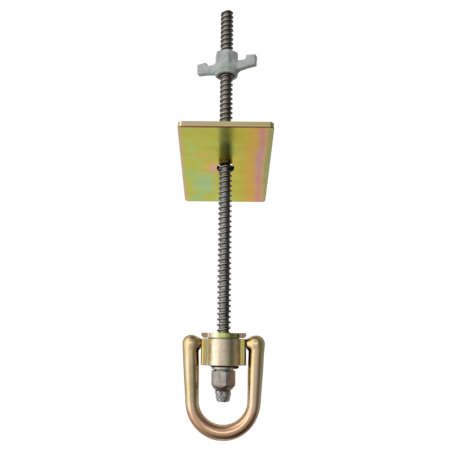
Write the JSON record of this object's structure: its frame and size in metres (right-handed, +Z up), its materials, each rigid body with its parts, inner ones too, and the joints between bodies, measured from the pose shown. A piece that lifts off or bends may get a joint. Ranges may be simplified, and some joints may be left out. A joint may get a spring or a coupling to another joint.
{
  "type": "roof anchor",
  "caption": "Through-deck swivel roof anchor: coil-thread rod with wing nut, steel bearing plate and a swivelling housing with a pivoting forged bail.",
  "frame": {"origin": "centre of the flange's top face, on the rod's axis, where the anchor bears on the underside of the deck", "axes": "+Z up along the rod towards the wing nut; X along the bail's trunnion pins; -Y is the front"},
  "size_m": [0.1026, 0.1394, 0.5024],
  "materials": {
    "mill_steel": "dark rolled steel, worn lighter on the crests",
    "galvanised_casting": "matte light grey hot-dip coat on a sand casting",
    "yellow_zinc_plate": "glossy iridescent yellow chromate on zinc",
    "yellow_zinc_flange": "machined, yellow chromate on zinc",
    "plain_zinc": "bright zinc",
    "yellow_zinc_forging": "satin gold chromate on a forging",
    "spring_steel": "black phosphate",
    "plain_steel": "plain machined steel, light rust tint",
    "weld_metal": "lumpy bright weld metal"
  },
  "bodies": {
    "anchor_rod": {"coil_rod": "mill_steel", "flanged_bushing": "yellow_zinc_flange", "upper_washer": "plain_zinc", "retaining_ring": "spring_steel", "hex_nut": "plain_steel", "end_weld": "weld_metal"},
    "wing_nut": {"wing_nut": "galvanised_casting"},
    "bearing_plate": {"bearing_plate": "yellow_zinc_plate"},
    "swivel_housing": {"swivel_housing": "yellow_zinc_forging"},
    "bail": {"bail": "yellow_zinc_forging"}
  },
  "joints": [
    {"name": "housing_swivel", "type": "hinge", "parent": "anchor_rod", "child": "swivel_housing", "pos_m": [0, 0, -0.02], "axis": [0, 0, 1], "continuous": true},
    {"name": "bail_swing", "type": "hinge", "parent": "swivel_housing", "child": "bail", "pos_m": [0, 0, -0.011], "axis": [1, 0, 0], "range_deg": [-90, 90]},
    {"name": "plate_slide", "type": "slide", "parent": "anchor_rod", "child": "bearing_plate", "axis": [0, 0, 1], "range_m": [-0.16, 0.1]},
    {"name": "wing_nut_turn", "type": "hinge", "parent": "anchor_rod", "child": "wing_nut", "pos_m": [0, 0, 0.319], "axis": [0, 0, 1], "continuous": true}
  ]
}
